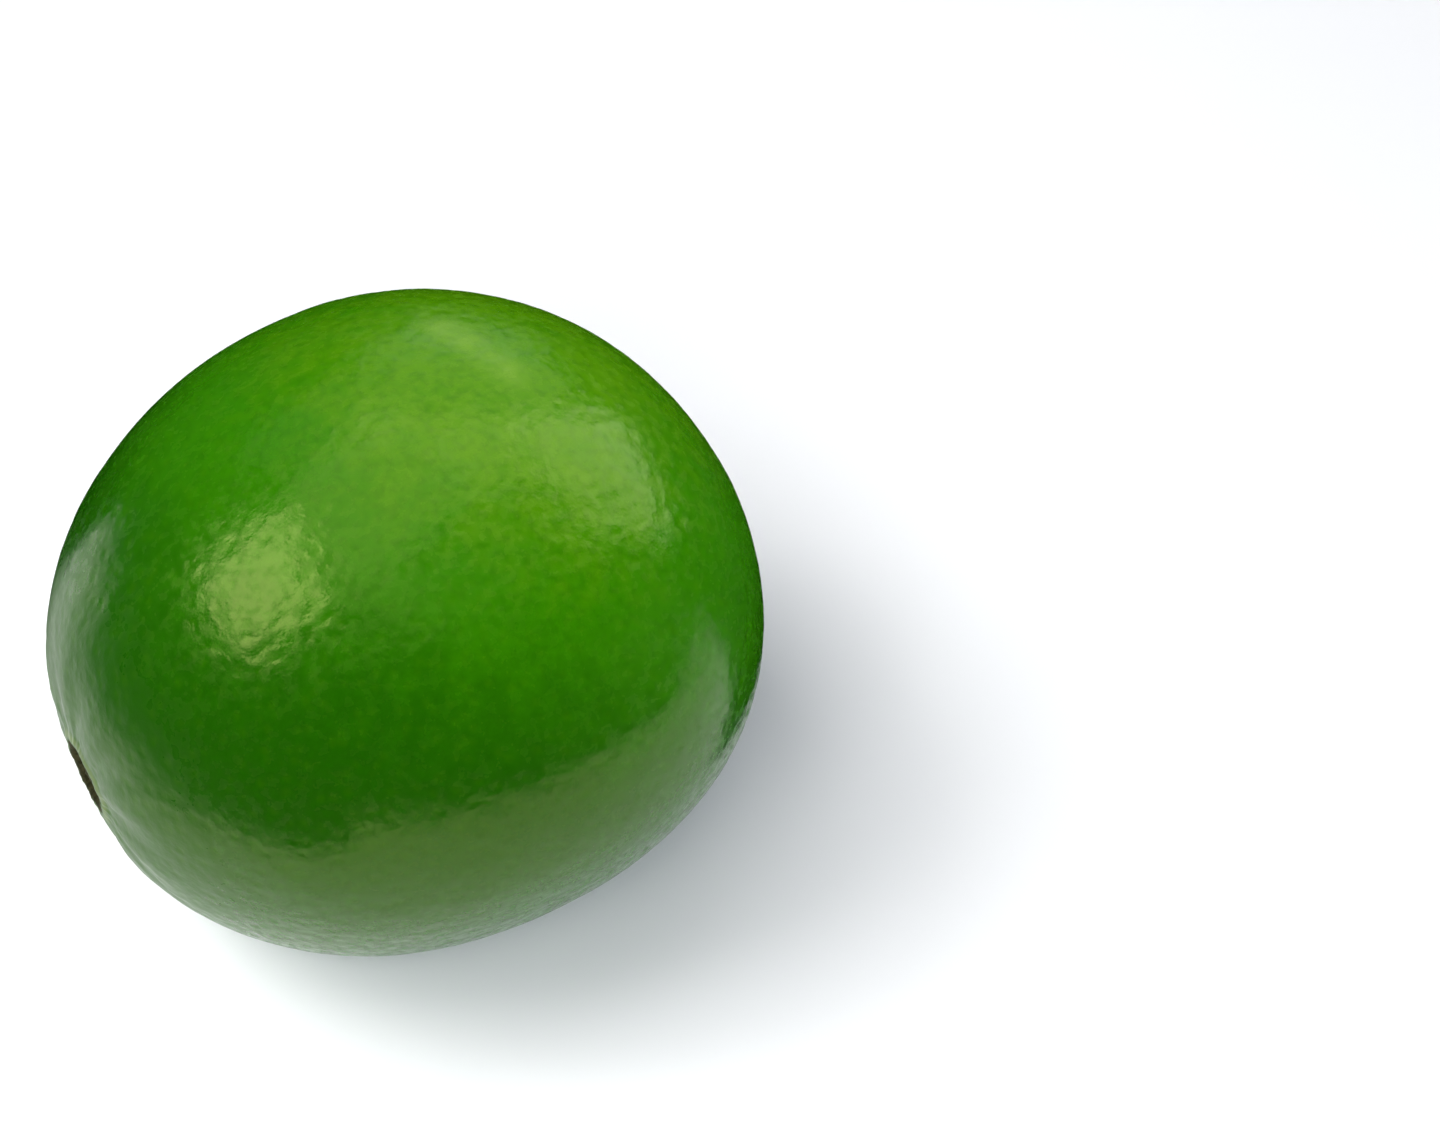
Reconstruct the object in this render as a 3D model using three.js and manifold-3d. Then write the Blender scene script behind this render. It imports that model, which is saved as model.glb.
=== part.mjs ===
// A whole green lime lying on its side. Millimetres, +Z up.
//
// The fruit grew as one piece, so it is one closed solid. Its core runs from the stem end, at -X, to the
// blossom end, at +X, and dips a little towards the stem. The origin is the middle of the small flat spot
// on its flank that it rests on.

import * as THREE from "three";
import { mergeVertices } from "three/addons/utils/BufferGeometryUtils.js";
import Module from "manifold-3d";

// Body
const BODY_LENGTH = 62; // pole to pole along the core, before the ends get their relief
const BODY_DIAMETER = 56; // across the core at the widest ring
const BODY_FULLNESS = 2.1; // superellipse exponent of the outline: 2 is an ellipse, more is blunter
const BLOSSOM_SWELL = 1.1; // how far the blossom half stands out past the stem half's outline, at the most
const CORE_TILT_DEG = 7.5; // how far the core dips towards the stem end as the fruit lies

// Slow unevenness of the skin: waves round the core, each fading towards both poles
const WAVES = [
  { lobes: 2, height: 0.75, phaseDeg: 186 },
  { lobes: 3, height: 0.5, phaseDeg: 223 },
  { lobes: 5, height: 0.1, phaseDeg: 10 },
];

// How far the ends of the core line lie off the straight line through its middle
const CORE_BOW_ACROSS = -0.45; // both ends, along Y
const CORE_BOW_UP = -0.35; // both ends, square to the core and to Y
const CORE_SWAY = -0.5; // the blossom end along Y, and the stem end the other way

// Stem end: a broad hollow with furrows, and in it a raised collar round the sunken scar of the stalk
const STEM_HOLLOW_RADIUS = 8;
const STEM_HOLLOW_DEPTH = 0.8;
const STEM_FURROWS = 9;
const STEM_FURROW_DEPTH = 0.14;
const STEM_SCAR_RADIUS = 3;
const STEM_SCAR_DEPTH = 0.4; // below the skin that the collar stands on
const STEM_COLLAR_WIDTH = 1.1; // from the scar's edge to the foot of the collar
const STEM_COLLAR_HEIGHT = 0.2;

// Blossom end: a low mound with the dry dot of the style in it
const BLOSSOM_MOUND_RADIUS = 5;
const BLOSSOM_MOUND_HEIGHT = 0.7;
const STYLE_DOT_RADIUS = 1.1;
const STYLE_DOT_DEPTH = 0.35;

// Flat spot that the fruit rests on
const REST_SPOT_DIAMETER = 12;

// Mesh
const RINGS = 48; // steps along the core
const END_CROWDING = 0.7; // 0 spaces the rings evenly, and nearly 1 crowds them at the two ends
const SIDES = 72; // steps round the core

const SKIN_COLOUR = "#2f7d12";

const bodyRadius = BODY_DIAMETER / 2;
const halfLength = BODY_LENGTH / 2;

// A smooth hump: 1 at distance 0, and almost nothing past twice the radius.
const hump = (distance, radius) => Math.exp(-((distance / radius) ** 2));

// A smooth step from 1 to 0 as distance passes an edge, over a band of the given width.
const plateau = (distance, edge, band) => 1 - THREE.MathUtils.smoothstep(distance, edge - band, edge);

// How far the skin sinks towards the middle of the fruit at a distance from the stem pole.
function stemRelief(distance) {
  const collarCrest = STEM_SCAR_RADIUS + STEM_COLLAR_WIDTH / 2;
  const collar = STEM_COLLAR_HEIGHT * hump(distance - collarCrest, STEM_COLLAR_WIDTH / 2);
  const scar = STEM_SCAR_DEPTH * plateau(distance, STEM_SCAR_RADIUS, STEM_COLLAR_WIDTH / 2);
  return STEM_HOLLOW_DEPTH * hump(distance, STEM_HOLLOW_RADIUS) - collar + scar;
}

// How far the skin stands out from the middle of the fruit at a distance from the blossom pole.
function blossomRelief(distance) {
  const mound = BLOSSOM_MOUND_HEIGHT * hump(distance, BLOSSOM_MOUND_RADIUS);
  return mound - STYLE_DOT_DEPTH * hump(distance, STYLE_DOT_RADIUS);
}

// One point of the outline, as distance from the core and height along it. share runs from 0 at the stem
// pole to 1 at the blossom pole.
function outlinePoint(share) {
  const crowded = share - (END_CROWDING / (4 * Math.PI)) * Math.sin(4 * Math.PI * share);
  const angle = Math.PI * crowded;
  const along = -Math.cos(angle);
  const across = Math.max(0, Math.sin(angle));
  const power = 2 / BODY_FULLNESS;
  const radius = bodyRadius * across ** power + BLOSSOM_SWELL * along * across;
  const height = halfLength * Math.sign(along) * Math.abs(along) ** power;
  const relief = along < 0 ? stemRelief(radius) : blossomRelief(radius);
  return new THREE.Vector2(share % 1 === 0 ? 0 : radius, height + relief);
}

// Turns the outline round the core, which then lies along X.
function turnedBody() {
  const outline = Array.from({ length: RINGS + 1 }, (_, ring) => outlinePoint(ring / RINGS));
  return new THREE.LatheGeometry(outline, SIDES).rotateZ(-Math.PI / 2);
}

// Moves each point of the turned body by the waves, the furrows and the bow of the core.
function growUnevenly(geometry) {
  const place = geometry.getAttribute("position");
  const point = new THREE.Vector3();
  for (let i = 0; i < place.count; i++) {
    point.fromBufferAttribute(place, i);
    const radius = Math.hypot(point.y, point.z);
    const turn = Math.atan2(point.y, point.z);
    const belly = Math.min(1, radius / bodyRadius) ** 2;
    const waves = WAVES.reduce(
      (sum, { lobes, height, phaseDeg }) =>
        sum + height * Math.cos(lobes * turn + THREE.MathUtils.degToRad(phaseDeg)),
      0,
    );
    const grown = radius > 0 ? 1 + (belly * waves) / radius : 1;
    const nearStem = point.x < 0 ? hump(radius - STEM_HOLLOW_RADIUS, STEM_HOLLOW_RADIUS / 2) : 0;
    const furrow = STEM_FURROW_DEPTH * nearStem * Math.cos(STEM_FURROWS * turn);
    const along = point.x / halfLength;
    const across = CORE_BOW_ACROSS * along ** 2 + CORE_SWAY * along ** 3;
    const up = CORE_BOW_UP * along ** 2;
    place.setXYZ(i, point.x + furrow, point.y * grown + across, point.z * grown + up);
  }
  return geometry;
}

// A closed three.js geometry as a solid that can be cut, and back.
function solidFrom(wasm, geometry) {
  const bare = new THREE.BufferGeometry();
  bare.setAttribute("position", geometry.getAttribute("position"));
  bare.setIndex(geometry.getIndex());
  const merged = mergeVertices(bare, 1e-3);
  return new wasm.Manifold(
    new wasm.Mesh({
      numProp: 3,
      vertProperties: merged.getAttribute("position").array,
      triVerts: new Uint32Array(merged.getIndex().array),
    }),
  );
}

function geometryFrom(solid) {
  const { vertProperties, triVerts } = solid.getMesh();
  const geometry = new THREE.BufferGeometry();
  geometry.setAttribute("position", new THREE.BufferAttribute(vertProperties, 3));
  geometry.setIndex(new THREE.BufferAttribute(triVerts, 1));
  geometry.computeVertexNormals();
  return geometry;
}

// Cuts the rest spot on the lowest flank and puts the middle of the spot at the origin.
function cutRestSpot(wasm, geometry) {
  const spotRadius = REST_SPOT_DIAMETER / 2;
  const spotDepth = bodyRadius - Math.sqrt(bodyRadius ** 2 - spotRadius ** 2);
  geometry.computeBoundingBox();
  geometry.translate(0, 0, -geometry.boundingBox.min.z - spotDepth);

  const reach = BODY_LENGTH + BODY_DIAMETER;
  const floor = new THREE.BoxGeometry(reach, reach, reach).translate(0, 0, -reach / 2);
  const rested = geometryFrom(solidFrom(wasm, geometry).subtract(solidFrom(wasm, floor)));

  const spot = new THREE.Box3();
  const place = rested.getAttribute("position");
  const point = new THREE.Vector3();
  const onFloor = 1e-4;
  for (let i = 0; i < place.count; i++) {
    point.fromBufferAttribute(place, i);
    if (Math.abs(point.z) < onFloor) spot.expandByPoint(point);
  }
  const middle = spot.getCenter(new THREE.Vector3());
  return rested.translate(-middle.x, -middle.y, 0);
}

const wasm = await Module();
wasm.setup();

const body = growUnevenly(turnedBody()).rotateY(THREE.MathUtils.degToRad(-CORE_TILT_DEG));
const skin = new THREE.MeshStandardMaterial({ color: SKIN_COLOUR, roughness: 0.4, metalness: 0 });
const fruit = new THREE.Mesh(cutRestSpot(wasm, body), skin);
fruit.name = "lime";

const lime = new THREE.Group();
lime.add(fruit);

export default lime;
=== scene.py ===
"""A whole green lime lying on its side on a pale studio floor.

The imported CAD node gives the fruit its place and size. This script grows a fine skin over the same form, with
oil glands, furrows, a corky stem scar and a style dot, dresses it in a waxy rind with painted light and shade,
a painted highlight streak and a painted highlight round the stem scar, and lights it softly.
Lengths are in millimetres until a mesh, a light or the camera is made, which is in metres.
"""

import logging
import math
from dataclasses import dataclass, field
from enum import Enum

import bmesh
import bpy
from mathutils import Matrix, Vector, noise


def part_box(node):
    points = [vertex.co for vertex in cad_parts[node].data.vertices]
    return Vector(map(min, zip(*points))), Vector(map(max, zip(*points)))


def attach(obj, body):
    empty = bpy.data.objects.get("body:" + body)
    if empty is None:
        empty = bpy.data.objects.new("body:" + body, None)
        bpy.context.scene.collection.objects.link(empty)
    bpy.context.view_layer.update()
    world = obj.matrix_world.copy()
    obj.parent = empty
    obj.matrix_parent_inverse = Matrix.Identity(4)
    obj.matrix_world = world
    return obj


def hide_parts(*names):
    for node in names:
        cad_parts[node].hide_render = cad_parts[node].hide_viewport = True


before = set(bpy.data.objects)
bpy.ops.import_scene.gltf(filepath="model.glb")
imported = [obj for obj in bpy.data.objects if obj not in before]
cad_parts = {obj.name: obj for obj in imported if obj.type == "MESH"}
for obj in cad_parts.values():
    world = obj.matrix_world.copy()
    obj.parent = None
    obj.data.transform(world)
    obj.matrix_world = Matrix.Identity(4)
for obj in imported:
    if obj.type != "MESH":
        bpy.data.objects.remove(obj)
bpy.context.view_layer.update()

LOG = logging.getLogger("lime")
MM = 0.001
NOISE_LOW, NOISE_HIGH = 0.3, 0.7  # most of a noise node's values lie between these


class End(Enum):
    """The two ends of the fruit's core, by the sign of their place along it."""

    STEM = -1
    BLOSSOM = 1


class Reach(Enum):
    """What a soft light falls on."""

    ALL = "everything"
    FRUIT = "the fruit alone"
    DULL = "the fruit alone, and it doesn't mirror in gloss"
    FLOOR = "the floor alone"


def hump(distance: float, radius: float) -> float:
    """A smooth hump.

    Args:
        distance: How far from the top of the hump, in mm.
        radius: Where the hump has fallen to about a third, in mm.

    Returns:
        1 at distance 0, and almost nothing past twice the radius.
    """
    return math.exp(-((distance / radius) ** 2))


def smoothstep(value: float, start: float, end: float) -> float:
    """A smooth step.

    Args:
        value: Where on the step.
        start: Where the step leaves 0.
        end: Where the step reaches 1.

    Returns:
        0 up to start, 1 from end on, and a smooth rise between them.
    """
    share = min(1.0, max(0.0, (value - start) / (end - start)))
    return share * share * (3 - 2 * share)


def direction(azimuth: float, elevation: float) -> Vector:
    """Finds a direction from the fruit.

    Args:
        azimuth: Degrees round the fruit: 0 is towards -Y and 90 towards +X.
        elevation: Degrees above the floor.

    Returns:
        A unit vector that points away from the fruit.
    """
    turn, lift = math.radians(azimuth), math.radians(elevation)
    return Vector((math.sin(turn) * math.cos(lift), -math.cos(turn) * math.cos(lift), math.sin(lift)))


def grey(tone: float) -> tuple[float, float, float, float]:
    """Returns an opaque grey of a tone from 0 to 1, as a node's input takes it."""
    return (tone, tone, tone, 1.0)


@dataclass(frozen=True)
class NoiseRing:
    """A ring through soft noise, so that a pattern closes on itself round the core."""

    size: float
    layer: float = 0.0

    def at(self, turn: float, height: float = 0.0) -> float:
        """Reads the noise.

        Args:
            turn: Turn round the core, in radians.
            height: How far above the ring.

        Returns:
            A number around 0.
        """
        spot = Vector((self.size * math.cos(turn), self.size * math.sin(turn), self.layer + height))
        return noise.noise(spot)


@dataclass(frozen=True)
class Wave:
    """A slow wave of the skin round the core."""

    lobes: int
    height: float
    phase_deg: float

    def at(self, turn: float) -> float:
        """How far the skin stands out, in mm, at a turn round the core in radians."""
        return self.height * math.cos(self.lobes * turn + math.radians(self.phase_deg))


@dataclass(frozen=True)
class SkinPoint:
    """A point of the smooth skin, with what the finer details need to know about it."""

    place: Vector
    end: End
    from_pole: float
    turn: float


@dataclass
class LimeForm:
    """The smooth form of the fruit, which is the form of its CAD node. Sizes in mm."""

    length: float = 62.0
    diameter: float = 56.0
    fullness: float = 2.1
    blossom_swell: float = 1.1
    tilt_deg: float = 7.5
    waves: tuple[Wave, ...] = (Wave(2, 0.75, 186), Wave(3, 0.5, 223), Wave(5, 0.1, 10))
    bow_across: float = -0.45
    bow_up: float = -0.35
    sway: float = -0.5
    hollow_radius: float = 8.0
    hollow_depth: float = 0.8
    mound_radius: float = 5.0
    mound_height: float = 0.7

    @property
    def radius(self) -> float:
        """Half the diameter, in mm."""
        return self.diameter / 2

    def point(self, direction: Vector) -> SkinPoint:
        """Finds where a direction from the middle of the fruit meets the skin.

        Args:
            direction: A unit vector, with the core along X and the stem end at -X.

        Returns:
            The point on the skin, before the fruit is laid on its side.
        """
        power = 2 / self.fullness
        half_length = self.length / 2
        across = math.hypot(direction.y, direction.z)
        turn = math.atan2(direction.y, direction.z)
        end = End.STEM if direction.x < 0 else End.BLOSSOM
        radius = self.radius * across**power + self.blossom_swell * direction.x * across
        along = math.copysign(half_length * abs(direction.x) ** power, direction.x)
        if end is End.STEM:
            along += self.hollow_depth * hump(radius, self.hollow_radius)
        else:
            along += self.mound_height * hump(radius, self.mound_radius)
        belly = min(1.0, radius / self.radius) ** 2
        grown = radius + belly * sum(wave.at(turn) for wave in self.waves)
        share = along / half_length
        aside = self.bow_across * share**2 + self.sway * share**3
        up = self.bow_up * share**2
        place = Vector((along, grown * math.sin(turn) + aside, grown * math.cos(turn) + up))
        return SkinPoint(place, end, radius, turn)


@dataclass
class StemEnd:
    """The scar that the stalk left, the collar round it and the furrows that run out of it. Sizes in mm."""

    scar_radius: float = 3.0
    scar_depth: float = 0.4
    scar_raggedness: float = 0.22
    scar_corners: int = 5
    corner_share: float = 0.4
    ragged: NoiseRing = NoiseRing(2.2, 3.7)
    collar_width: float = 1.1
    collar_height: float = 0.2
    furrows: int = 9
    furrow_depth: float = 0.14
    furrow_reach: float = 8.0
    streak_depth: float = 0.1
    streak_reach: float = 11.2
    streak_length: float = 9.0
    streaks: NoiseRing = NoiseRing(9.0)
    button_radius: float = 0.9
    button_height: float = 0.3
    cork_grain: float = 0.45
    cork_height: float = 0.09
    cork_softness: float = 0.9
    cork_step: float = 2.1
    cork_layers: int = 3
    cork_fade: float = 0.4
    crack_depth: float = 0.12
    crack_width: float = 0.06
    cracks: NoiseRing = NoiseRing(3.1, 9.2)
    shoulder_reach: float = 22.0
    shoulder_streak: float = 0.7
    shoulder_streaks: NoiseRing = NoiseRing(8.0)
    fine_reach: float = 6.5
    finest_reach: float = 4.6

    def edge(self, turn: float) -> float:
        """Radius of the scar's ragged edge, in mm, at a turn round the core in radians."""
        corners = self.corner_share * math.cos(self.scar_corners * turn)
        return self.scar_radius + self.scar_raggedness * (self.ragged.at(turn) + corners)

    def scar_share(self, point: SkinPoint) -> float:
        """How much a point belongs to the scar, from 0 to 1."""
        edge = self.edge(point.turn)
        return 1 - smoothstep(point.from_pole, edge - self.collar_width / 2, edge)

    def collar_share(self, point: SkinPoint) -> float:
        """How much a point belongs to the crest of the collar, from 0 to 1."""
        crest = self.edge(point.turn) + self.collar_width / 2
        return hump(point.from_pole - crest, self.collar_width / 2)

    def cork_share(self, point: SkinPoint) -> float:
        """How much of a point is dry cork, from 0 to 1: the scar and the inner side of its collar."""
        crest = self.edge(point.turn) + self.collar_width / 2
        return 1 - smoothstep(point.from_pole, crest - self.cork_fade, crest)

    def rim_share(self, point: SkinPoint) -> float:
        """How much a point belongs to the rim outside the cork, which gets a painted highlight, from 0 to 1."""
        rim = self.edge(point.turn) + self.collar_width / 2 + self.cork_fade
        return hump(point.from_pole - rim, self.cork_fade)

    def shoulder_share(self, point: SkinPoint) -> float:
        """Works out how much a point belongs to the duller, streaky shoulder round the stem end.

        Args:
            point: A point of the smooth skin.

        Returns:
            A share from 0 to 1.
        """
        streaks = self.shoulder_streaks.at(point.turn, point.from_pole / self.streak_length)
        share = 1 - smoothstep(point.from_pole, self.shoulder_reach / 2, self.shoulder_reach)
        return share * (1 - self.shoulder_streak * abs(streaks))

    def relief(self, point: SkinPoint) -> float:
        """Works out the relief of the stem end.

        Args:
            point: A point of the smooth skin near the stem.

        Returns:
            How far the skin stands out along the core there, in mm; negative is sunken.
        """
        scar = self.scar_share(point)
        rise = self.collar_height * self.collar_share(point) - self.scar_depth * scar
        band = hump(point.from_pole - self.furrow_reach, self.furrow_reach / 2)
        rise -= self.furrow_depth * band * math.cos(self.furrows * point.turn)
        streak = abs(self.streaks.at(point.turn, point.from_pole / self.streak_length))
        rise -= self.streak_depth * hump(point.from_pole, self.streak_reach) * streak
        grain = point.place / self.cork_grain
        cork = self.cork_height * noise.fractal(grain, self.cork_softness, self.cork_step, self.cork_layers)
        off_crack = abs(self.cracks.at(point.turn))
        crack = self.crack_depth * smoothstep(self.crack_width, off_crack, off_crack + self.crack_width)
        rise += scar * (cork - crack)
        return rise + self.button_height * hump(point.from_pole, self.button_radius)


@dataclass
class BlossomEnd:
    """The dry dot of the style in the low mound at the blossom end. Sizes in mm."""

    dot_radius: float = 1.1
    dot_depth: float = 0.35
    tip_radius: float = 0.35
    tip_height: float = 0.22
    dry_inner: float = 0.55
    dry_outer: float = 0.95
    dry_raggedness: float = 0.2
    ragged: NoiseRing = NoiseRing(2.0, 1.3)
    fine_reach: float = 3.0

    def dot_share(self, point: SkinPoint) -> float:
        """How much a point belongs to the dry dot, from 0 to 1."""
        wobble = self.dry_raggedness * self.ragged.at(point.turn)
        return 1 - smoothstep(point.from_pole, self.dry_inner + wobble, self.dry_outer + wobble)

    def relief(self, point: SkinPoint) -> float:
        """How far the skin stands out along the core near the style, in mm."""
        tip = self.tip_height * hump(point.from_pole, self.tip_radius)
        return tip - self.dot_depth * hump(point.from_pole, self.dot_radius)


@dataclass
class OilGlands:
    """The pits over the oil glands, and the slow unevenness of the skin between them.

    Sizes in mm, but the floor and the edge of a pit are shares of the spacing.
    """

    spacing: float = 1.15
    depth: float = 0.05
    pit_floor: float = 0.05
    pit_edge: float = 0.62
    dimple_grain: float = 3.2
    dimple_height: float = 0.03
    dimple_softness: float = 1.0
    dimple_step: float = 2.0
    dimple_layers: int = 2
    swell_grain: float = 9.0
    swell_stretch: float = 0.6
    swell_height: float = 0.16
    offset: Vector = field(default_factory=lambda: Vector((31.7, 12.9, 7.3)))

    def pit(self, place: Vector) -> float:
        """How deep in a gland's pit a place is, from 0 on the ridge between pits to 1 in the middle."""
        nearest = noise.voronoi(place / self.spacing + self.offset)[0][0]
        return 1 - smoothstep(nearest, self.pit_floor, self.pit_edge)

    def relief(self, place: Vector, pit: float) -> float:
        """Works out the relief of the bare rind.

        Args:
            place: A point of the smooth skin.
            pit: How deep in a gland's pit it is, from 0 to 1.

        Returns:
            How far the skin stands out there, in mm.
        """
        spot = place / self.dimple_grain + self.offset
        dimple = noise.fractal(spot, self.dimple_softness, self.dimple_step, self.dimple_layers)
        dimples = self.dimple_height * dimple
        slow = Vector((place.x * self.swell_stretch, place.y, place.z)) / self.swell_grain
        swell = self.swell_height * noise.noise(slow - self.offset)
        return dimples + swell - self.depth * pit


@dataclass(frozen=True)
class PaintedLightSide:
    """The upper side where the rind is painted lighter and yellower, partly as painted light and partly as a
    yellower tint; the far side gets painted shade. Angles in degrees.
    """

    azimuth: float = 104.0
    elevation: float = 64.0

    def share(self, place: Vector, middle: Vector) -> float:
        """Works out how far a point is turned to the painted lit side.

        Args:
            place: The point.
            middle: The middle of the fruit.

        Returns:
            1 in the middle of the painted lit side, 0 halfway round the fruit from it, and less beyond.
        """
        return (place - middle).normalized().dot(direction(self.azimuth, self.elevation))


@dataclass(frozen=True)
class PaintedStreak:
    """A short pale streak of painted highlight on the lit side, near the top. Angles in degrees."""

    start: tuple[float, float] = (140.0, 68.0)
    end: tuple[float, float] = (90.0, 71.0)
    half_width: float = 2.9

    def share(self, place: Vector, middle: Vector) -> float:
        """Works out how much a point belongs to the streak.

        Args:
            place: The point.
            middle: The middle of the fruit.

        Returns:
            1 along the middle of the streak, and almost nothing past twice its half width.
        """
        first = direction(*self.start)
        span = direction(*self.end) - first
        offset = (place - middle).normalized() - first
        along = min(1.0, max(0.0, offset.dot(span) / span.length_squared))
        return hump(math.degrees((offset - span * along).length), self.half_width)


@dataclass(frozen=True)
class RindFinish:
    """Waxy green rind: mottled greens, paler glands, painted light and shade that make it lighter and yellower
    towards one upper side and deeper green away from it, a painted highlight streak, a painted highlight round
    the stem scar, and dry cork at the scars.

    A grain is the size of a pattern's spots in mm, a spread is how far it sways a value, a range is where a
    value starts and stops to matter, and a share is how strong a colour gets.
    """

    # The next colour is painted shade on the side turned from the light, and also the colour of random dark
    # specks.
    deep: tuple[float, float, float] = (0.0120, 0.112, 0.0001)
    # The next colour is the middle green between the painted shade and the painted light.
    fresh: tuple[float, float, float] = (0.0290, 0.192, 0.0002)
    # The next colour is painted light with a yellower tint on the side turned to the light, and also the paler
    # colour of the glands.
    blush_and_lit: tuple[float, float, float] = (0.074, 0.238, 0.0006)
    # The next colour is a painted highlight, in a short pale streak near the top.
    streak_highlight: tuple[float, float, float] = (0.135, 0.305, 0.020)
    # The next colour is a painted highlight on the rim round the stem scar.
    pale: tuple[float, float, float] = (0.22, 0.30, 0.10)
    cork: tuple[float, float, float] = (0.046, 0.040, 0.018)
    cork_dark: tuple[float, float, float] = (0.012, 0.011, 0.006)
    roughness: float = 0.235
    unevenness: float = 0.085
    dull: float = 0.42
    gloss: float = 0.49
    gloss_tint: tuple[float, float, float] = (0.92, 1.0, 0.30)
    slow_grain: float = 15.0
    slow_spread: float = 0.09
    mottle_grain: float = 1.8
    mottle_spread: float = 0.08
    # The next two ranges set where the painted shade turns to the middle green, and where that turns to painted
    # light.
    fresh_range: tuple[float, float] = (0.0, 0.64)
    lit_yellow_range: tuple[float, float] = (0.58, 1.10)
    gland_range: tuple[float, float] = (0.15, 0.9)
    gland_share: float = 0.12
    speck_grain: float = 0.8
    speck_range: tuple[float, float] = (0.38, 0.78)
    speck_share: float = 0.34
    # The next range sways the painted highlight streak with the mottle.
    streak_range: tuple[float, float] = (0.45, 0.9)
    rim_share: float = 0.55
    cork_grain: float = 0.5
    cork_range: tuple[float, float] = (0.35, 0.65)
    cork_roughness: float = 0.85
    smear_grain: float = 0.9
    pore_grain: float = 0.8
    pore_height: float = 0.04

    def material(self) -> bpy.types.Material:
        """Builds the rind's material.

        Returns:
            A material with a Principled shader, driven by object coordinates and the skin's own attributes.
        """
        made = bpy.data.materials.new("lime_rind")
        made.use_nodes = True
        nodes = NodeBench(made.node_tree)
        shader = nodes.shader()
        here = nodes.object_place()

        slow = nodes.noise(here, self.slow_grain, detail=2.0)
        mottle = nodes.noise(here, self.mottle_grain, detail=4.0)
        specks = nodes.noise(here, self.speck_grain, detail=2.0)
        scar = nodes.attribute("scar")

        # Painted light and shade: lighter and yellower towards the lit side, deeper green away from it, swayed
        # by slow and fine random noise.
        painted_light_and_tone = nodes.plus(nodes.attribute("painted_lit_side"), nodes.spread(slow, -self.slow_spread, self.slow_spread))
        painted_light_and_tone = nodes.plus(painted_light_and_tone, nodes.spread(mottle, -self.mottle_spread, self.mottle_spread))
        green = nodes.mix(nodes.ramp(painted_light_and_tone, *self.fresh_range), self.deep, self.fresh)
        green = nodes.mix(nodes.ramp(painted_light_and_tone, *self.lit_yellow_range), green, self.blush_and_lit)
        gland = nodes.ramp(nodes.attribute("gland"), *self.gland_range)
        green = nodes.mix(nodes.times(gland, self.gland_share), green, self.blush_and_lit)
        speck = nodes.ramp(specks, *self.speck_range)
        green = nodes.mix(nodes.times(speck, self.speck_share), green, self.deep)
        # Painted highlight: a short pale streak near the top, broken up by the mottle.
        painted_streak = nodes.times(nodes.attribute("painted_streak"), nodes.spread(mottle, *self.streak_range))
        green = nodes.mix(painted_streak, green, self.streak_highlight)
        # Painted highlight on the rim round the stem scar.
        green = nodes.mix(nodes.times(nodes.attribute("rim"), self.rim_share), green, self.pale)
        grain = nodes.noise(here, self.cork_grain, detail=3.0)
        cork = nodes.mix(nodes.ramp(grain, *self.cork_range), self.cork_dark, self.cork)
        nodes.link(nodes.mix(scar, green, cork), shader.inputs["Base Color"])

        smears = nodes.noise(here, self.smear_grain, detail=2.0)
        wax = nodes.spread(smears, self.roughness - self.unevenness, self.roughness + self.unevenness)
        wax = nodes.blend(nodes.attribute("shoulder"), wax, self.dull)
        nodes.link(nodes.blend(scar, wax, self.cork_roughness), shader.inputs["Roughness"])
        shader.inputs["Specular IOR Level"].default_value = self.gloss
        shader.inputs["Specular Tint"].default_value = (*self.gloss_tint, 1.0)

        pores = nodes.noise(here, self.pore_grain, detail=2.0)
        nodes.link(nodes.bump(pores, self.pore_height), shader.inputs["Normal"])
        return made


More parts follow.
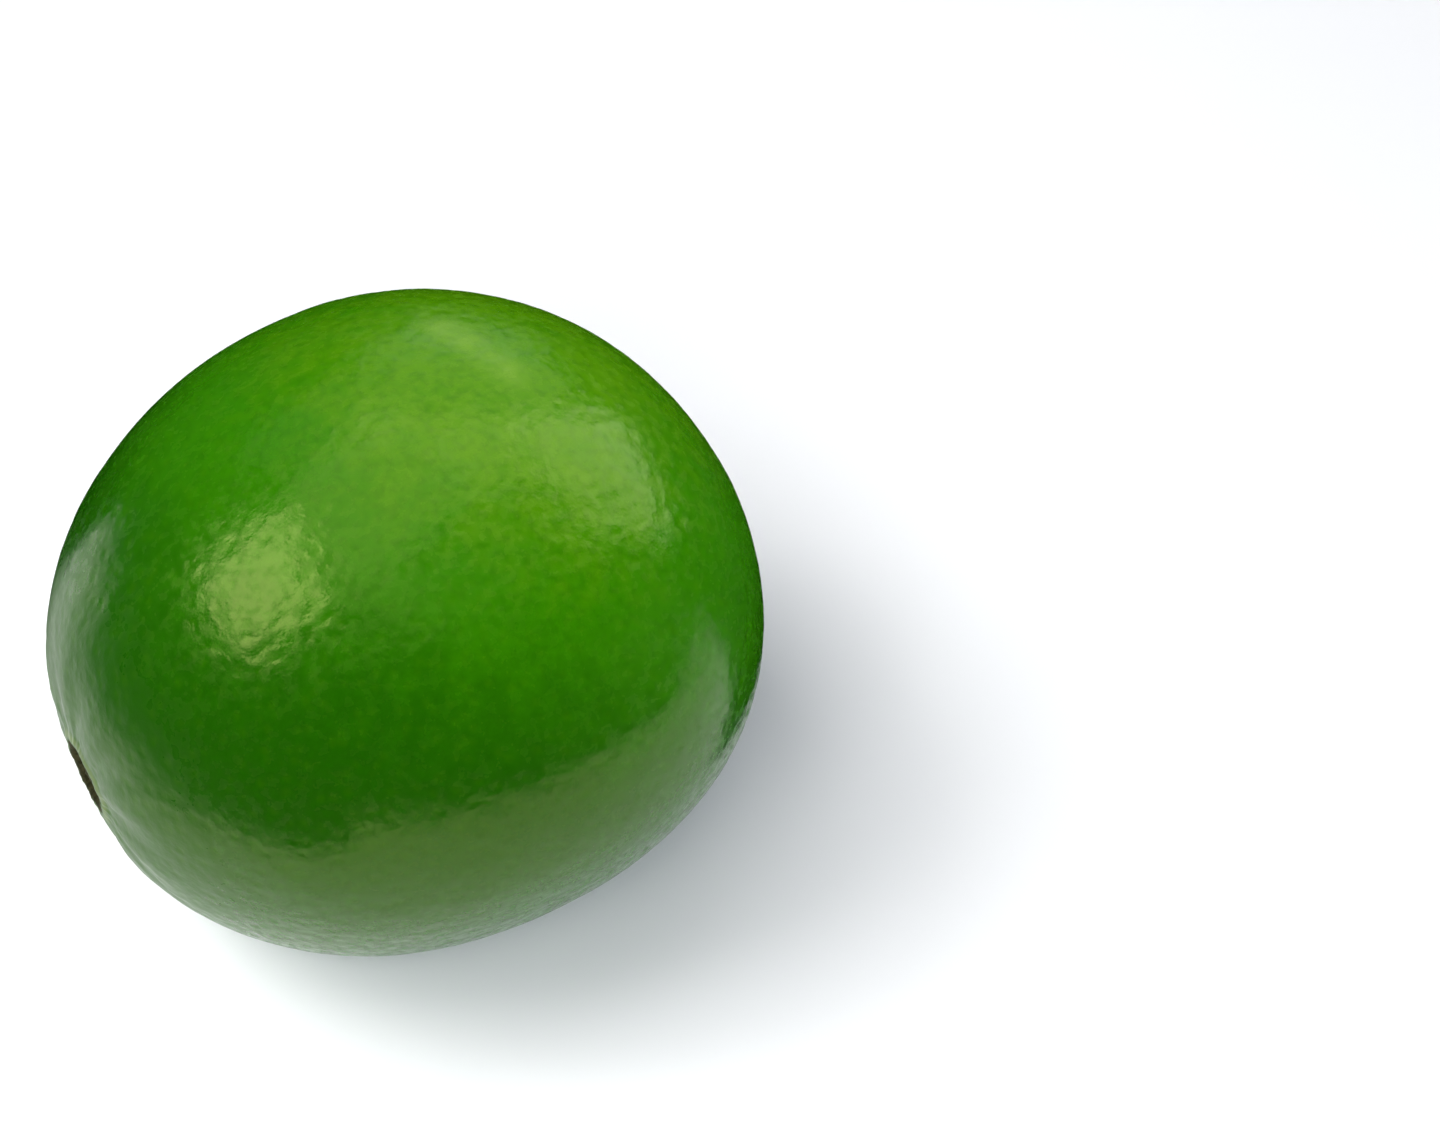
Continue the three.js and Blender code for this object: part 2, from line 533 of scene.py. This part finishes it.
@dataclass
class NodeBench:
    """Short ways to add and join the nodes of one material."""

    tree: bpy.types.NodeTree

    def link(self, source: bpy.types.NodeSocket, target: bpy.types.NodeSocket) -> None:
        """Joins an output to an input."""
        self.tree.links.new(source, target)

    def feed(self, value: object, target: bpy.types.NodeSocket) -> None:
        """Gives an input a socket to read, a colour or a number.

        Args:
            value: A node socket, a colour of three numbers, or a number.
            target: The input that takes it.
        """
        if isinstance(value, bpy.types.NodeSocket):
            self.link(value, target)
        elif isinstance(value, tuple):
            target.default_value = (*value, 1.0)
        else:
            target.default_value = value

    def shader(self) -> bpy.types.ShaderNode:
        """Returns the material's Principled shader."""
        return next(node for node in self.tree.nodes if node.type == "BSDF_PRINCIPLED")

    def object_place(self) -> bpy.types.NodeSocket:
        """Returns the place on the object, in metres."""
        return self.tree.nodes.new("ShaderNodeTexCoord").outputs["Object"]

    def attribute(self, name: str) -> bpy.types.NodeSocket:
        """Reads a number that the mesh holds at each of its points.

        Args:
            name: The attribute's name.

        Returns:
            The number.
        """
        node = self.tree.nodes.new("ShaderNodeAttribute")
        node.attribute_name = name
        return node.outputs["Fac"]

    def noise(self, place: bpy.types.NodeSocket, grain: float, detail: float) -> bpy.types.NodeSocket:
        """Adds a soft random pattern.

        Args:
            place: Where to read it.
            grain: Size of its spots, in mm.
            detail: How many finer layers it has.

        Returns:
            A number around 0.5.
        """
        node = self.tree.nodes.new("ShaderNodeTexNoise")
        node.inputs["Scale"].default_value = 1 / (grain * MM)
        node.inputs["Detail"].default_value = detail
        self.link(place, node.inputs["Vector"])
        return node.outputs["Fac"]

    def spread(self, value: bpy.types.NodeSocket, low: float, high: float) -> bpy.types.NodeSocket:
        """Turns a number around 0.5 into one between low and high."""
        return self._map(value, NOISE_LOW, NOISE_HIGH, low, high)

    def ramp(self, value: bpy.types.NodeSocket, start: float, end: float) -> bpy.types.NodeSocket:
        """Turns a number into 0 below start and 1 above end, smoothly."""
        return self._map(value, start, end, 0.0, 1.0)

    def _map(
        self, value: bpy.types.NodeSocket, start: float, end: float, low: float, high: float
    ) -> bpy.types.NodeSocket:
        """Maps a number smoothly from one range to another.

        Args:
            value: The number.
            start: Low end of its own range.
            end: High end of its own range.
            low: What start becomes.
            high: What end becomes.

        Returns:
            The mapped number, kept inside low and high.
        """
        node = self.tree.nodes.new("ShaderNodeMapRange")
        node.interpolation_type = "SMOOTHSTEP"
        self.link(value, node.inputs["Value"])
        for name, number in (("From Min", start), ("From Max", end), ("To Min", low), ("To Max", high)):
            node.inputs[name].default_value = number
        return node.outputs["Result"]

    def times(self, first: object, second: object) -> bpy.types.NodeSocket:
        """Multiplies two numbers."""
        return self._sum("MULTIPLY", first, second)

    def plus(self, first: object, second: object) -> bpy.types.NodeSocket:
        """Adds two numbers."""
        return self._sum("ADD", first, second)

    def _sum(self, operation: str, first: object, second: object) -> bpy.types.NodeSocket:
        """Joins two numbers.

        Args:
            operation: What to do with them, by the Math node's name for it.
            first: A number or a socket.
            second: A number or a socket.

        Returns:
            The result.
        """
        node = self.tree.nodes.new("ShaderNodeMath")
        node.operation = operation
        self.feed(first, node.inputs[0])
        self.feed(second, node.inputs[1])
        return node.outputs[0]

    def mix(self, share: object, first: object, second: object) -> bpy.types.NodeSocket:
        """Mixes two colours.

        Args:
            share: How much of the second, from 0 to 1.
            first: A colour or a socket.
            second: A colour or a socket.

        Returns:
            The mixed colour.
        """
        node = self.tree.nodes.new("ShaderNodeMix")
        node.data_type = "RGBA"
        self.feed(share, node.inputs["Factor"])
        self.feed(first, node.inputs["A"])
        self.feed(second, node.inputs["B"])
        return node.outputs["Result"]

    def blend(self, share: object, first: object, second: object) -> bpy.types.NodeSocket:
        """Mixes two numbers.

        Args:
            share: How much of the second, from 0 to 1.
            first: A number or a socket.
            second: A number or a socket.

        Returns:
            The mixed number.
        """
        node = self.tree.nodes.new("ShaderNodeMix")
        node.data_type = "FLOAT"
        self.feed(share, node.inputs["Factor"])
        self.feed(first, node.inputs["A"])
        self.feed(second, node.inputs["B"])
        return node.outputs["Result"]

    def bump(self, value: bpy.types.NodeSocket, height: float) -> bpy.types.NodeSocket:
        """Makes a pattern into fine relief.

        Args:
            value: The pattern.
            height: How high it stands where it is 1, in mm.

        Returns:
            The normal of the relief.
        """
        node = self.tree.nodes.new("ShaderNodeBump")
        node.inputs["Distance"].default_value = height * MM
        self.link(value, node.inputs["Height"])
        return node.outputs["Normal"]


@dataclass
class Lime:
    """The fruit: one closed skin over the CAD node's form.

    The edge of the rest spot is rounded over its softness in mm, up to spot_reach times that above the floor.
    """

    form: LimeForm = field(default_factory=LimeForm)
    stem: StemEnd = field(default_factory=StemEnd)
    blossom: BlossomEnd = field(default_factory=BlossomEnd)
    glands: OilGlands = field(default_factory=OilGlands)
    # Where the rind gets painted light and shade.
    painted_lit_side: PaintedLightSide = field(default_factory=PaintedLightSide)
    # A painted highlight streak on the rind.
    painted_streak: PaintedStreak = field(default_factory=PaintedStreak)
    finish: RindFinish = field(default_factory=RindFinish)
    cuts: int = 114
    rim_smoothness: float = 0.8
    spot_softness: float = 0.12
    spot_reach: float = 10.0

    def build(self) -> bpy.types.Object:
        """Makes the skin, dresses it and ties it to the CAD node.

        Returns:
            The finished piece.
        """
        skin = bmesh.new()
        self._rough_ball(skin)
        self._refine(skin, End.STEM, self.stem.fine_reach)
        self._refine(skin, End.STEM, self.stem.finest_reach)
        self._refine(skin, End.BLOSSOM, self.blossom.fine_reach)
        self._grow(skin)
        self._lay_down(skin)
        mesh = bpy.data.meshes.new("lime_skin")
        skin.to_mesh(mesh)
        skin.free()
        mesh.shade_smooth()
        mesh.materials.append(self.finish.material())
        piece = bpy.data.objects.new("lime_skin", mesh)
        bpy.context.scene.collection.objects.link(piece)
        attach(piece, "root")
        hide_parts("lime")
        return piece

    def _rough_ball(self, skin: bmesh.types.BMesh) -> None:
        """Makes an even ball of unit size from a finely cut cube.

        Args:
            skin: The empty mesh, which becomes the ball.
        """
        bmesh.ops.create_cube(skin, size=2.0)
        bmesh.ops.subdivide_edges(skin, edges=skin.edges[:], cuts=self.cuts, use_grid_fill=True)
        for vert in skin.verts:
            vert.co = Vector(math.tan(part * math.pi / 4) for part in vert.co).normalized()

    def _refine(self, skin: bmesh.types.BMesh, end: End, reach: float) -> None:
        """Cuts the mesh of the ball once more near one end.

        Args:
            skin: The ball, of unit size.
            end: Which end.
            reach: How far from the pole the finer mesh goes, in mm.
        """
        limit = math.cos(reach / self.form.radius)
        near = [edge for edge in skin.edges if all(vert.co.x * end.value > limit for vert in edge.verts)]
        bmesh.ops.subdivide_edges(skin, edges=near, cuts=1, use_grid_fill=True)
        for vert in skin.verts:
            vert.co.normalize()

    def _grow(self, skin: bmesh.types.BMesh) -> None:
        """Moves every point of the ball onto the fruit's form, then raises and sinks the fine relief.

        Args:
            skin: The ball, of unit size, which becomes the fruit in mm with its core along X.
        """
        names = ("gland", "scar", "rim", "shoulder")
        gland, scar, rim, shoulder = (skin.verts.layers.float.new(name) for name in names)
        points = [self.form.point(vert.co) for vert in skin.verts]
        for vert, point in zip(skin.verts, points):
            vert.co = point.place
        skin.normal_update()
        for vert, point in zip(skin.verts, points):
            pit = self.glands.pit(point.place)
            if point.end is End.STEM:
                bare = self.stem.cork_share(point)
                vert[rim] = self.stem.rim_share(point)
                vert[shoulder] = self.stem.shoulder_share(point)
                rise = self.stem.relief(point)
                smoothed = max(bare, self.rim_smoothness * vert[rim])
            else:
                bare = self.blossom.dot_share(point)
                rise = self.blossom.relief(point)
                smoothed = bare
            vert[scar] = bare
            vert[gland] = pit * (1 - smoothed)
            vert.co += vert.normal * (rise + (1 - smoothed) * self.glands.relief(point.place, pit))

    def _lay_down(self, skin: bmesh.types.BMesh) -> None:
        """Lays the fruit on its side where its CAD node lies, in metres, and flattens the spot it rests on.

        Args:
            skin: The fruit in mm, with its core along X.
        """
        tilt = Matrix.Rotation(math.radians(-self.form.tilt_deg), 3, "Y")
        bmesh.ops.rotate(skin, verts=skin.verts[:], cent=Vector(), matrix=tilt)
        bmesh.ops.scale(skin, verts=skin.verts[:], vec=Vector((MM, MM, MM)))
        low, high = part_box("lime")
        corners = [[pick(vert.co[axis] for vert in skin.verts) for axis in range(3)] for pick in (min, max)]
        shift = (low + high) / 2 - (Vector(corners[0]) + Vector(corners[1])) / 2
        shift.z = high.z - corners[1][2]
        bmesh.ops.translate(skin, verts=skin.verts[:], vec=shift)
        soft = self.spot_softness * MM
        middle = (low + high) / 2
        # Shares for the painted light and shade, and for the painted highlight streak.
        painted_lit_layer, streak_highlight = (skin.verts.layers.float.new(name) for name in ("painted_lit_side", "painted_streak"))
        for vert in skin.verts:
            vert[painted_lit_layer] = self.painted_lit_side.share(vert.co, middle)
            vert[streak_highlight] = self.painted_streak.share(vert.co, middle)
            if vert.co.z < self.spot_reach * soft:
                vert.co.z = (vert.co.z + math.hypot(vert.co.z, soft)) / 2


@dataclass(frozen=True)
class SoftBox:
    """A square or oblong soft light that faces the fruit. Angles in degrees, distances in mm, power in watts.

    The azimuth is counted from the camera's.
    """

    name: str
    azimuth: float
    elevation: float
    distance: float
    width: float
    height: float
    power: float
    reach: Reach = Reach.ALL

    def build(
        self, middle: Vector, camera_azimuth: float, fruit: bpy.types.Collection, floor: bpy.types.Collection
    ) -> bpy.types.Object:
        """Hangs the light.

        Args:
            middle: The middle of the fruit, in metres.
            camera_azimuth: The camera's azimuth, in degrees.
            fruit: What a light for the fruit alone falls on.
            floor: What a light for the floor alone falls on.

        Returns:
            The light.
        """
        lamp = bpy.data.lights.new(self.name, "AREA")
        lamp.shape = "RECTANGLE"
        lamp.size = self.width * MM
        lamp.size_y = self.height * MM
        lamp.energy = self.power
        light = bpy.data.objects.new(self.name, lamp)
        away = direction(camera_azimuth + self.azimuth, self.elevation)
        light.location = middle + away * self.distance * MM
        light.rotation_euler = away.to_track_quat("Z", "Y").to_euler()
        light.visible_camera = False
        light.visible_glossy = self.reach is not Reach.DULL
        if self.reach is not Reach.ALL:
            light.light_linking.receiver_collection = floor if self.reach is Reach.FLOOR else fruit
        bpy.context.scene.collection.objects.link(light)
        return light


@dataclass(frozen=True)
class BlackCard:
    """A low curved black card that only gloss sees, to keep the floor behind it out of the reflections.

    Azimuths in degrees, counted from the camera's; sizes in mm.
    """

    name: str
    start: float
    end: float
    radius: float
    height: float
    steps: int = 48

    def build(self, middle: Vector, camera_azimuth: float) -> bpy.types.Object:
        """Stands the card round the fruit.

        Args:
            middle: The middle of the fruit, in metres.
            camera_azimuth: The camera's azimuth, in degrees.

        Returns:
            The card.
        """
        sheet = bmesh.new()
        centre = Vector((middle.x, middle.y, 0))
        foot = sheet.verts.new(centre + direction(camera_azimuth + self.start, 0) * self.radius * MM)
        sweep = math.radians(self.end - self.start)
        bmesh.ops.spin(sheet, geom=[foot], cent=centre, axis=(0, 0, 1), angle=sweep, steps=self.steps)
        wall = bmesh.ops.extrude_edge_only(sheet, edges=sheet.edges[:])
        risen = [part for part in wall["geom"] if isinstance(part, bmesh.types.BMVert)]
        bmesh.ops.translate(sheet, verts=risen, vec=Vector((0, 0, self.height * MM)))
        mesh = bpy.data.meshes.new(self.name)
        sheet.to_mesh(mesh)
        sheet.free()
        black = bpy.data.materials.new(self.name)
        black.use_nodes = True
        shader = NodeBench(black.node_tree).shader()
        shader.inputs["Base Color"].default_value = grey(0.0)
        shader.inputs["Roughness"].default_value = 1.0
        shader.inputs["Specular IOR Level"].default_value = 0.0
        mesh.materials.append(black)
        card = bpy.data.objects.new(self.name, mesh)
        card.visible_camera = False
        card.visible_diffuse = False
        card.visible_shadow = False
        bpy.context.scene.collection.objects.link(card)
        return card


@dataclass
class Studio:
    """A pale floor, soft lights and the camera. Angles in degrees, distances in mm."""

    camera_azimuth: float = -26.2
    camera_elevation: float = 48.0
    camera_distance: float = 300.0
    lens: float = 85.75
    near_clip: float = 10.0
    aim_right: float = 27.0
    aim_up: float = 4.95
    floor_size: float = 4000.0
    floor_tone: float = 0.82
    floor_roughness: float = 0.9
    floor_glow: tuple[float, float, float] = (0.06, 0.075, 0.105)
    room_tone: float = 0.02
    backdrop_tone: float = 0.9
    cards: tuple[BlackCard, ...] = (
        BlackCard("front_card_left", -98, -10, 92, 42),
        BlackCard("front_card_right", -10, 80, 200, 42),
        BlackCard("back_card", 80, 253, 44, 52),
    )
    lights: tuple[SoftBox, ...] = (
        SoftBox("key", -73, 49.5, 600, 320, 310, 1.66),
        SoftBox("right_back", 122, 39, 600, 333, 413, 1.10, Reach.FRUIT),
        SoftBox("back", 170, 44, 600, 425, 485, 0.44, Reach.FRUIT),
        SoftBox("back_left", 215, 52, 600, 255, 344, 0.12, Reach.FRUIT),
        SoftBox("back_low", 172, 18, 600, 200, 180, 0.06, Reach.FRUIT),
        SoftBox("ceiling", 225, 78, 600, 420, 420, 0.64),
        SoftBox("ceiling_right", 140, 66, 600, 300, 200, 0.24),
        SoftBox("ceiling_front", -25, 67, 600, 260, 160, 0.07),
        SoftBox("top_fill", 30, 80, 600, 420, 420, 1.8, Reach.DULL),
        SoftBox("right_fill", 78, 14, 600, 400, 200, 0.72, Reach.DULL),
        SoftBox("floor_front", -12, 42, 600, 400, 300, 2.8, Reach.FLOOR),
        SoftBox("floor_left", -100, 50, 600, 300, 300, 0.9, Reach.FLOOR),
        SoftBox("floor_wide", -70, 60, 3000, 1900, 1900, 32.0, Reach.FLOOR),
    )

    def build(self, piece: bpy.types.Object, middle: Vector) -> None:
        """Sets up the floor, the room, the lights and the camera.

        Args:
            piece: The fruit.
            middle: The middle of the fruit, in metres.
        """
        fruit = bpy.data.collections.new("fruit")
        fruit.objects.link(piece)
        ground = bpy.data.collections.new("ground")
        ground.objects.link(self._lay_floor())
        for card in self.cards:
            card.build(middle, self.camera_azimuth)
        self._light_room()
        for light in self.lights:
            light.build(middle, self.camera_azimuth, fruit, ground)
        self._place_camera(middle)
        bpy.context.scene.view_settings.view_transform = "Standard"

    def _lay_floor(self) -> bpy.types.Object:
        """Lays the plain pale floor that the fruit rests on.

        Returns:
            The floor.
        """
        sheet = bmesh.new()
        bmesh.ops.create_grid(sheet, x_segments=1, y_segments=1, size=self.floor_size * MM / 2)
        mesh = bpy.data.meshes.new("floor")
        sheet.to_mesh(mesh)
        sheet.free()
        paint = bpy.data.materials.new("floor_paint")
        paint.use_nodes = True
        shader = NodeBench(paint.node_tree).shader()
        shader.inputs["Base Color"].default_value = grey(self.floor_tone)
        shader.inputs["Roughness"].default_value = self.floor_roughness
        shader.inputs["Specular IOR Level"].default_value = 0.0
        shader.inputs["Emission Color"].default_value = (*self.floor_glow, 1.0)
        shader.inputs["Emission Strength"].default_value = 1.0
        mesh.materials.append(paint)
        floor = bpy.data.objects.new("floor", mesh)
        bpy.context.scene.collection.objects.link(floor)
        return floor

    def _light_room(self) -> None:
        """Fills the room with a dim even light, in front of a pale backdrop that only the camera sees."""
        room = bpy.data.worlds.new("room")
        room.use_nodes = True
        tree = room.node_tree
        glow = tree.nodes["Background"]
        glow.inputs["Color"].default_value = grey(self.room_tone)
        backdrop = tree.nodes.new("ShaderNodeBackground")
        backdrop.inputs["Color"].default_value = grey(self.backdrop_tone)
        rays = tree.nodes.new("ShaderNodeLightPath")
        join = tree.nodes.new("ShaderNodeMixShader")
        tree.links.new(rays.outputs["Is Camera Ray"], join.inputs["Fac"])
        tree.links.new(glow.outputs["Background"], join.inputs[1])
        tree.links.new(backdrop.outputs["Background"], join.inputs[2])
        tree.links.new(join.outputs["Shader"], tree.nodes["World Output"].inputs["Surface"])
        bpy.context.scene.world = room

    def _place_camera(self, middle: Vector) -> None:
        """Sets the camera to look past the fruit's right side.

        Args:
            middle: The middle of the fruit, in metres.
        """
        back = direction(self.camera_azimuth, self.camera_elevation)
        right = Vector((0, 0, 1)).cross(back).normalized()
        up = back.cross(right)
        lens = bpy.data.cameras.new("camera")
        lens.lens = self.lens
        lens.clip_start = self.near_clip * MM
        camera = bpy.data.objects.new("camera", lens)
        camera.location = middle + back * self.camera_distance * MM
        target = middle + (right * self.aim_right + up * self.aim_up) * MM
        facing = (camera.location - target).normalized()
        level = up.cross(facing).normalized()
        camera.rotation_euler = Matrix((level, facing.cross(level), facing)).transposed().to_euler()
        bpy.context.scene.collection.objects.link(camera)
        bpy.context.scene.camera = camera


def main() -> None:
    """Builds the fruit and the studio, and reports each piece."""
    logging.basicConfig(level=logging.INFO, format="%(name)s: %(message)s")
    skin = Lime().build()
    LOG.info("%s: %d points, %d faces", skin.name, len(skin.data.vertices), len(skin.data.polygons))
    low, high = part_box("lime")
    studio = Studio()
    studio.build(skin, (low + high) / 2)
    LOG.info("studio: %d lights", len(studio.lights))


if __name__ == "__main__":
    main()
